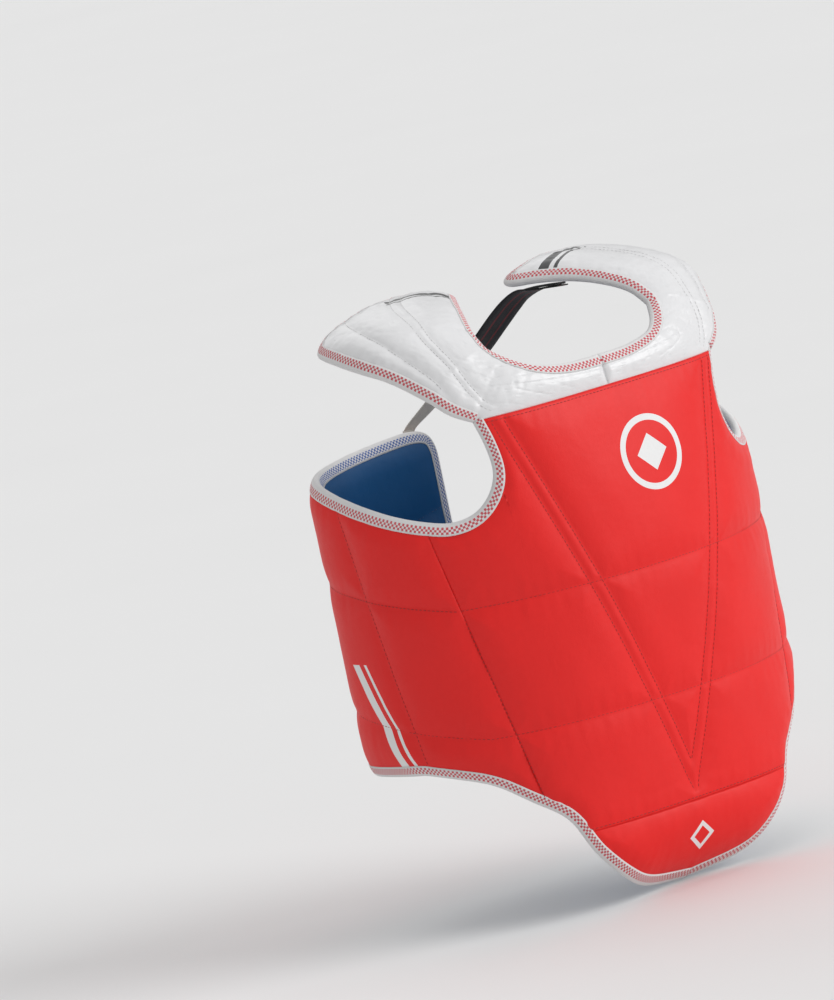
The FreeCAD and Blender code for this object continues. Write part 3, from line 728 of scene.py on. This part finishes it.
# ---- body pads
FLANK_LOW, FLANK_HIGH = FLANK[0][0], FLANK[1][0]
ARM_FLOOR = 430  # above it the armhole's edge runs beside the chest
hem_front = clip_line(HEM_LINE, 0, FLANK_LOW)
off_flank = np.abs(ARM_LINE[:, 0] - FLANK_HIGH) + (ARM_LINE[:, 1] > ARM_FLOOR) * 1e3
arm_turn = int(np.argmin(off_flank))
floor_part = ARM_LINE[arm_turn - 2:]
flank_top = (FLANK_HIGH, np.interp(FLANK_HIGH, floor_part[:, 0], floor_part[:, 1]))
arm_front = np.concatenate([ARM_LINE[:arm_turn], [flank_top]])
arm_side = np.concatenate([arm_front[-1:], ARM_LINE[arm_turn + 1:], WING_LINE])
hem_side = np.concatenate([hem_front[-1:], HEM_LINE[HEM_LINE[:, 0] > FLANK_LOW + 2], LOW_LINE])
top_front = np.concatenate([even(np.array([(0.0, SEAM), (YOKE_ARC, SEAM)]), 5.0)[:-1], arm_front])
low_front = np.stack([hem_front[:, 0], np.maximum(hem_front[:, 1], APRON)], axis=1)

FRONT_NODES = ["front_cover", "chest_foam", "belly_foam", "vee_tip_foam"]
FRONT_NODES += ["%s_%s_foam" % (name, row) for name, _ in SIDES for row in ("breast", "rib", "hip")]
front = body_piece("front_pad", both_ways(low_front), both_ways(top_front), 251, 170, 1, "outer",
                   "red_chest", "red_vinyl", FRONT_SEED)
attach(front, "trunk")
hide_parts(*FRONT_NODES)
front_lining = body_piece("front_lining_pad", both_ways(hem_front), both_ways(top_front), 181, 140,
                          1, "inner", "blue_grain", "blue_vinyl", FRONT_SEED)
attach(front_lining, "trunk")
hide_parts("front_lining")
apron_hem = clip_line(HEM_LINE, 0, 140.5)
apron_top = np.stack([apron_hem[:, 0], np.full(len(apron_hem), APRON)], axis=1)
apron = body_piece("apron_pad", both_ways(apron_hem), both_ways(apron_top), 121, 36, 1, "outer",
                   "red_apron", "red_vinyl", FRONT_SEED)
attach(apron, "trunk")
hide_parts("apron_cover", "apron_foam")

def wing_blend(piece, name, side):
    """Bakes a piece's transform into its mesh, without bending it."""
    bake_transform(piece)


for name, side in SIDES:
    pad = body_piece(name + "_side_pad", hem_side, arm_side, 126, 86, side, "outer", "red_side",
                     "red_vinyl", BODY_SEED[name])
    wing_blend(pad, name, side)
    foams = ["%s_wing_%s_foam" % (name, row) for row in ("lower", "middle", "upper")]
    foams += ["%s_flank_%s_foam" % (name, row) for row in ("lower", "middle", "upper")]
    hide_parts(name + "_wing_cover", *foams)
    lining = body_piece(name + "_side_lining_pad", hem_side, arm_side, 106, 70, side, "inner",
                        "blue_grain", "blue_vinyl", BODY_SEED[name])
    wing_blend(lining, name, side)
    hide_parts(name + "_wing_lining")


# ---- shoulders
def shoulder_grid(columns, rows):
    """Along and up over the yoke and the flap, with a column at the joint."""
    yoke = np.linspace(0, 1, columns // 2 + 1)[:-1]
    flap = np.linspace(1, 2, columns - len(yoke))
    along, up = np.meshgrid(np.concatenate([yoke, flap]), np.linspace(0, 1, rows), indexing="ij")
    return round_end(along.ravel(), up.ravel())


def raise_blend(piece, name, side):
    """Bakes a piece's transform into its mesh, without bending it."""
    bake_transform(piece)


SHOULDER_COVERED = ("_yoke_cover", "_yoke_foam", "_shoulder_cover", "_shoulder_foam")
for name, side in SIDES:
    columns, rows = 131, 66
    along, up = shoulder_grid(columns, rows)
    out, inner = shoulder_depths(along, up, SHOULDER_SEED[name])
    uvs = np.stack([along, up], axis=1) / MM
    middle = np.full(len(along), YOKE / 2)
    pad = shell(name + "_shoulder_pad", shoulder(along, up, out),
                shoulder(along, up, middle - PAD_GAP), columns, rows, uvs, side,
                "white_gloss", "white_vinyl")
    raise_blend(pad, name, side)
    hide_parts(*[name + part for part in SHOULDER_COVERED])
    lining = shell(name + "_shoulder_lining_pad", shoulder(along, up, middle + PAD_GAP),
                   shoulder(along, up, inner), columns, rows, uvs, side, "white_gloss",
                   "white_vinyl")
    raise_blend(lining, name, side)
    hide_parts(name + "_yoke_lining", name + "_shoulder_lining")

# ---- edge tapes
# Across each face of the tape: distance in from the edge, place on the flat map, height above it
FACE = np.array([TAPE, 7.6, 5.2, 2.8, 0.6])
FACE_V = np.array([1.5, 3.9, 6.3, 8.7, 10.5])
TAPE_LIFT = np.array([0.55, 0.9, 0.95, 0.95, 0.7])
TOTAL_V = 30.0


def smooth_runs(rows):
    """Unit direction of a flat or solid line at each of its points."""
    return unit(np.gradient(rows, axis=0))


def tape_rings(edge_at, out_at, inner_at):
    """Section points round an edge: outer face, round the rim, inner face."""
    sections = []
    for gap, lift in zip(FACE, TAPE_LIFT):
        sections.append(edge_at(gap, out_at(gap) - lift))
    low, high = out_at(FACE[-1]), inner_at(FACE[-1])
    for share, outwards in ((0.18, 1.5), (0.5, 2.1), (0.82, 1.5)):
        sections.append(edge_at(-outwards, low + (high - low) * share))
    for gap, lift in zip(FACE[::-1], TAPE_LIFT[::-1]):
        sections.append(edge_at(gap, inner_at(gap) + lift))
    return np.stack(sections, axis=1)


V_ROWS = np.concatenate([FACE_V, [13.0, 15.0, 17.0], TOTAL_V - FACE_V[::-1]])
TAPE_STEP = 3.0


def tape_uvs(rings):
    """Length along the tape and place across it."""
    run = run_lengths(rings[:, len(FACE) + 1])
    return np.stack(np.broadcast_arrays(run[:, None], V_ROWS[None, :]), axis=-1)


def body_tape(name, side):
    """Tape from the yoke round the armhole and wing to the middle of the hem."""
    seed = BODY_SEED[name]
    end_rows = np.array([(WING_TOP[-1][0], h) for h in np.linspace(450, 200, 60)], float)
    path = even(np.concatenate([ARM_LINE, WING_LINE, end_rows, LOW_LINE[::-1], HEM_LINE[::-1]]),
                TAPE_STEP)
    path = np.stack([np.convolve(np.pad(column, 2, mode="edge"), np.ones(5) / 5, mode="valid")
                     for column in path.T], axis=1)
    path[0], path[-1] = (YOKE_ARC, SEAM), (0, 0)
    run = smooth_runs(path)
    inward = np.stack([run[:, 1], -run[:, 0]], axis=1)
    inward[-1] = (0, 1)

    def edge_at(gap, depth):
        spot = path + inward * gap
        return body(spot[:, 0], spot[:, 1], depth)

    rings = tape_rings(edge_at, lambda gap: body_depths(path + inward * gap, seed)[0],
                       lambda gap: body_depths(path + inward * gap, seed)[1])
    rings[-1, :, 0] = 0.0
    tape = tube(name + "_body_tape", rings, tape_uvs(rings), side, "edge_tape", "edge_tape")
    wing_blend(tape, name, side)
    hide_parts(name + "_armhole_binding", name + "_wing_binding",
                *(["hem_binding"] if side > 0 else []))


def shoulder_tape(name, side):
    """Tape from the middle of the neck round the flap to the armhole."""
    seed = SHOULDER_SEED[name]
    spots = shoulder_base(RIM[:, 0], RIM[:, 1])
    rim = even(np.concatenate([RIM, spots], axis=1)[:, [2, 3, 4, 0, 1]], TAPE_STEP)
    along, up = rim[:, 3], rim[:, 4]
    spot, rate_c, rate_v, down = shoulder_frame(along, up)
    across = unit(np.cross(smooth_runs(spot), down))
    probe = shoulder_base(np.clip(along * 0.97 + 0.03, 0, 2), up * 0.9 + 0.05)
    across = across * np.sign(np.sum(across * (probe - spot), axis=1))[:, None]
    aa, bb, cc = (np.sum(p * q, axis=1)
                  for p, q in ((rate_c, rate_c), (rate_c, rate_v), (rate_v, rate_v)))
    pc, pv = np.sum(rate_c * across, axis=1), np.sum(rate_v * across, axis=1)
    solve = np.maximum(aa * cc - bb * bb, 1e-6)
    d_along, d_up = (cc * pc - bb * pv) / solve, (aa * pv - bb * pc) / solve

    def moved(gap):
        return np.clip(along + d_along * gap, 0, 2), np.clip(up + d_up * gap, 0, 1)

    def rim_edge(gap, depth):
        if gap <= 0:
            return spot + across * gap + down * depth[:, None]
        return shoulder(*moved(gap), depth)

    rings = tape_rings(rim_edge, lambda gap: shoulder_depths(*moved(gap), seed)[0],
                       lambda gap: shoulder_depths(*moved(gap), seed)[1])
    rings[0, :, 0] = 0.0
    tape = tube(name + "_shoulder_tape", rings, tape_uvs(rings), side, "edge_tape", "edge_tape")
    raise_blend(tape, name, side)
    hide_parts(name + "_shoulder_binding", *(["neck_binding"] if side > 0 else []))


for name, side in SIDES:
    body_tape(name, side)
    shoulder_tape(name, side)


# ---- stitching
def stitches(name, lines, side, material, slot, long=3.2, pitch=4.6, thick=0.42):
    """Rows of short threads along lines of points."""
    points, faces, turns = [], [], 5
    angles = np.arange(turns) * 2 * math.pi / turns
    shape = ((-0.5, 0.25), (-0.36, 0.9), (0.0, 1.0), (0.36, 0.9), (0.5, 0.25))
    count = 0
    for line in lines:
        line = even(line, pitch)
        for start, end in zip(line[:-1], line[1:]):
            way = unit(end - start)
            lift = unit(np.cross(way, (0.3, 0.5, 0.81)))
            cross = np.cross(way, lift)
            centre = (start + end) / 2
            for place, fat in shape:
                for angle in angles:
                    out = lift * math.cos(angle) + cross * math.sin(angle)
                    points.append(centre + way * place * long + out * fat * thick)
            for ring in range(len(shape) - 1):
                for k in range(turns):
                    a, b = count + ring * turns + k, count + ring * turns + (k + 1) % turns
                    faces.append((a, b, b + turns, a + turns))
            for ring, flip in ((0, True), (len(shape) - 1, False)):
                loop = [count + ring * turns + k for k in range(turns)]
                loop = loop[::-1] if flip else loop
                faces.append((loop[0], loop[1], loop[2], loop[3]))
                faces.append((loop[0], loop[3], loop[4], loop[4]))
            count += turns * len(shape)
    points = np.array(points) * np.array([side, 1, 1]) * MM
    mesh = bpy.data.meshes.new(name)
    faces = [face if len(set(face)) == 4 else face[:3] for face in faces]
    if side < 0:
        faces = [face[::-1] for face in faces]
    mesh.from_pydata(points.tolist(), [], faces)
    return place_mesh(name, mesh, material, slot)


THREAD_LIFT = 0.12
THREADS = {"outer": ("red_thread", "red_vinyl"), "inner": ("blue_thread", "blue_vinyl")}


def lifted(depths, face):
    """Depth of threads that lie on the outer or inner face."""
    return depths[0] - THREAD_LIFT if face == "outer" else depths[1] + THREAD_LIFT


def on_body(line, face, seed):
    """Line of flat points laid on the pad's outer or inner face."""
    rows = even(np.array(line, float), 3.0)
    return body(rows[:, 0], rows[:, 1], lifted(body_depths(rows, seed), face))


def flank_at(height):
    """Arc of the flank seam at a height."""
    low, high = np.array(FLANK[0]), np.array(FLANK[1])
    return low[0] + (high[0] - low[0]) * (height - low[1]) / (high[1] - low[1])


for face in ("outer", "inner"):
    routes = [[(-flank_at(level), level), (flank_at(level), level)] for level in (UPPER, LOWER)]
    for way in (-1, 1):
        routes.append([(way * 133, SEAM - 5), (way * 0.5, 124)])
        routes.append([(way * 147, SEAM - 5), (way * 3, 94)])
        routes.append([(way * 174, 126), (way * 237.5, 407)])
    routes.append([(-158, SEAM - 3.5), (158, SEAM - 3.5)])
    routes.append([(-133, APRON + 3.0), (133, APRON + 3.0)])
    lines = [on_body(route, face, FRONT_SEED) for route in routes]
    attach(stitches("front_%s_stitches" % face, lines, 1, *THREADS[face]), "trunk")

for name, side in SIDES:
    for face in ("outer", "inner"):
        routes = []
        for level in (UPPER, LOWER):
            rise = level + QUILT_RISE * (600 - RISE_FROM)
            start = flank_at(level) + 3
            routes.append([(start, level), (max(RISE_FROM, start + 1), level), (600, rise)])
        routes.append([(292.5, 178), (350, 442)])
        lines = [on_body(route, face, BODY_SEED[name]) for route in routes]
        sewn = stitches("%s_side_%s_stitches" % (name, face), lines, side, *THREADS[face])
        wing_blend(sewn, name, side)
    for face in ("outer", "inner"):
        lines = []
        for rows in SEAMS_3D.values():
            along, up = rows[3:-3, 0], rows[3:-3, 1]
            depth = lifted(shoulder_depths(along, up, SHOULDER_SEED[name]), face)
            lines.append(shoulder(along, up, depth))
        sewn = stitches("%s_shoulder_%s_stitches" % (name, face), lines, side, "white_thread",
                        "white_vinyl")
        raise_blend(sewn, name, side)


# ---- crossed straps
def band(name, points, normals, wide, thick, side, material, slot, narrow=1.0):
    """Flat woven band through points, facing the normals, narrower at its start."""
    step, facing_weight, edge_round = 2.5, 10, 0.5
    joined = np.concatenate([np.array(points, float), np.array(normals, float) * facing_weight],
                            axis=1)
    rows = even(catmull(joined, np.linspace(0, 1, 240)), step)
    spot, facing = rows[:, :3], unit(rows[:, 3:])
    run = smooth_runs(spot)
    across = unit(np.cross(run, facing))
    facing = np.cross(across, run)
    half = wide / 2
    section = [(-half, 0.0), (-half + edge_round, 0.85), (-half * 0.6, 1.0), (-half * 0.2, 1.0),
               (half * 0.2, 1.0), (half * 0.6, 1.0), (half - edge_round, 0.85), (half, 0.0)]
    section += [(x, -y) for x, y in section[-2:0:-1]]
    across = across * np.linspace(narrow, 1, len(spot))[:, None]
    rings = np.stack([spot + across * x + facing * y * thick / 2 for x, y in section], axis=1)
    length = run_lengths(spot)
    v = np.array([x for x, _ in section])
    uvs = np.stack(np.broadcast_arrays(length[:, None], v[None, :]), axis=-1)
    return tube(name, rings, uvs, side, material, slot)


# Facings of the strap where it leans, stands against the wing and lies under the flap
LEAN, BACK, FLAT = (0, 0.76, 0.65), (0, 1, 0.05), (0, 0.2, 0.98)
CROSSING = 1.7  # each strap's shift to its own side where the two cross
TAPE_THICK, TAB_WIDE, ANCHOR_WIDE = 1.8, 25, 13
ELASTIC_WIDE, ELASTIC_THICK, HOOK_WIDE, HOOK_THICK = 38, 1.6, 35, 2.4
ANCHOR_ROWS = [(57, 151.0, 444), (56.6, 151.6, 456), (56, 151.6, 470), (55, 150.8, 484)]
TAB_ROWS = [(54, 151.5, 478), (50, 149.2, 487), (37, 137.8, 500.4), (24, 126.4, 513.8),
            (10.9, 114.9, 527.2)]
ELASTIC_ROWS = [(26.3, 128.4, 511.4), (5, 110.3, 534), (-15, 92.7, 556), (-33, 77.5, 578),
                (-45, 67, 591.5), (-55.5, 56, 598.6), (-66, 41, 600.6), (-79.5, 21.3, 600.2)]
ELASTIC_FACING = [LEAN] * 4 + [(0, 0.7, 0.72), (-0.1, 0.4, 0.9), FLAT, FLAT]
HOOK_ROWS = [(-57, 54.0, 601.4), (-66, 41, 603.0), (-78.5, 22.7, 602.6)]
# Loop patch on the flap: from the neck towards the arm, and along the flap
PATCH_DOWN, PATCH_ALONG, PATCH_GRID = (0.08, 0.30), (0.76, 0.93), (24, 26)
# Sewn box with a cross, round the anchor tape's middle
SEWN_BOX = [(-5, 446), (5, 446), (5, 466), (-5, 466), (-5, 446), (5, 466), (-5, 466), (5, 446)]


def strap(name, side):
    """Anchor tape on the wing, the tab, and the elastic and hook patch that swing from it."""
    lift = np.array(LEAN) * CROSSING * side
    anchor = band(name + "_anchor_tape", ANCHOR_ROWS, [BACK] * 4, ANCHOR_WIDE, TAPE_THICK, side,
                  "cotton_tape", "cotton_tape", 0.9)
    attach(anchor, name + "_wing")
    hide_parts(name + "_tab_anchor")
    tab_rows, elastic_rows = np.array(TAB_ROWS), np.array(ELASTIC_ROWS)
    tab_rows[1:] += lift
    elastic_rows[:5] += lift
    tab = band(name + "_tape_tab_band", tab_rows + np.array(LEAN) * 1.9, [BACK] + [LEAN] * 4,
               TAB_WIDE, TAPE_THICK, side, "cotton_tape", "cotton_tape", 0.52)
    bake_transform(tab)
    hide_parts(name + "_tape_tab")
    elastic = band(name + "_elastic_band", elastic_rows, ELASTIC_FACING, ELASTIC_WIDE,
                   ELASTIC_THICK, side, "elastic", "elastic")
    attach(elastic, name + "_strap")
    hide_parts(name + "_elastic")
    hook = band(name + "_hook_patch", HOOK_ROWS, [FLAT] * 3, HOOK_WIDE, HOOK_THICK, side,
                "hook_tape", "hook_tape")
    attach(hook, name + "_strap")
    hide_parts(name + "_hook_end")


def loop_patch(name, side):
    """Piled patch on the flap, thinner at its edges."""
    a, b = np.meshgrid(np.linspace(*PATCH_DOWN, PATCH_GRID[0]),
                       np.linspace(*PATCH_ALONG, PATCH_GRID[1]), indexing="ij")
    along, up = 1 + b.ravel(), 1 - a.ravel()
    edge = np.minimum.reduce([a - PATCH_DOWN[0], PATCH_DOWN[1] - a, (b - PATCH_ALONG[0]) * 1.2,
                              (PATCH_ALONG[1] - b) * 1.2]).ravel()
    pile = np.clip(edge / 0.012, 0, 1) ** 0.5
    _, inner = shoulder_depths(along, up, SHOULDER_SEED[name])
    patch = shell(name + "_loop_patch", shoulder(along, up, inner - 0.4),
                  shoulder(along, up, inner + 0.2 + pile), *PATCH_GRID,
                  np.stack([along, up], axis=1) / MM, side, "loop_tape", "loop_tape")
    raise_blend(patch, name, side)
    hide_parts(name + "_shoulder_patch")


for name, side in SIDES:
    strap(name, side)
    loop_patch(name, side)
    cross = np.array([(56.8 + x, 152.7, z) for x, z in SEWN_BOX], float)
    sewn = stitches(name + "_anchor_stitches", [cross], side, "white_thread", "cotton_tape", 1.9,
                    2.6, 0.3)
    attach(sewn, name + "_wing")

# ---- floor, light and camera
low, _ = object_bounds()
floor_mesh = bpy.data.meshes.new("floor")
REACH = 40.0
corners = [(-REACH, -REACH, 0), (REACH, -REACH, 0), (REACH, REACH, 0), (-REACH, REACH, 0)]
floor_mesh.from_pydata(corners, [], [(0, 1, 2, 3)])
floor = bpy.data.objects.new("floor", floor_mesh)
bpy.context.scene.collection.objects.link(floor)
floor.location.z = low.z - 0.001
pale = Paint("pale_floor")
pale.finish(pale.mix(pale.noise(2.0), (0.80, 0.80, 0.80, 1), (0.82, 0.82, 0.82, 1)), 0.9)
floor_mesh.materials.append(pale.material)

AZIMUTH, ELEVATION, ROLL = math.radians(-35), math.radians(7.5), math.radians(12)
right = Vector((math.cos(AZIMUTH), math.sin(AZIMUTH), 0))
up_way = Vector((-math.sin(AZIMUTH) * math.sin(ELEVATION),
                 math.cos(AZIMUTH) * math.sin(ELEVATION), math.cos(ELEVATION)))
back_way = right.cross(up_way)
AIM_LEFT, AIM_BELOW = 0.2129, 0.0733  # the picture's middle, from the middle of the yoke seam
aim = Vector((0, SEAM_FRONT * MM, SEAM * MM)) - right * AIM_LEFT - up_way * AIM_BELOW
DISTANCE, FRAME_TALL, SENSOR = 9.0, 1.0, 36.0
camera_data = bpy.data.cameras.new("camera")
camera_data.sensor_width = SENSOR
camera_data.lens = SENSOR * DISTANCE / FRAME_TALL
camera_data.clip_end = 200
camera = bpy.data.objects.new("camera", camera_data)
bpy.context.scene.collection.objects.link(camera)
turn_right = right * math.cos(ROLL) - up_way * math.sin(ROLL)
turn_up = right * math.sin(ROLL) + up_way * math.cos(ROLL)
axes = Matrix((turn_right, turn_up, back_way)).transposed().to_4x4()
camera.matrix_world = Matrix.Translation(aim + back_way * DISTANCE) @ axes
bpy.context.scene.camera = camera


def lamp(name, way, strength, spread, tint=(1, 1, 1)):
    """Wide soft sun from a way, so that the floor is lit evenly."""
    data = bpy.data.lights.new(name, "SUN")
    data.energy, data.angle, data.color = strength, math.radians(spread), tint
    light = bpy.data.objects.new(name, data)
    bpy.context.scene.collection.objects.link(light)
    light.rotation_mode = "QUATERNION"
    light.rotation_quaternion = Vector(way).normalized().to_track_quat("Z", "Y")


lamp("key", (0.75, -1.0, 0.62), 1.7, 40)
lamp("top", (0.15, 0.1, 1.0), 0.45, 50)
lamp("rear", (0.3, 1.0, 0.7), 0.3, 40)
world = bpy.data.worlds.new("studio")
world.use_nodes = True
world.node_tree.nodes["Background"].inputs[0].default_value = (1, 1, 1, 1)
world.node_tree.nodes["Background"].inputs[1].default_value = 0.52
bpy.context.scene.world = world
bpy.context.scene.view_settings.view_transform = "Standard"
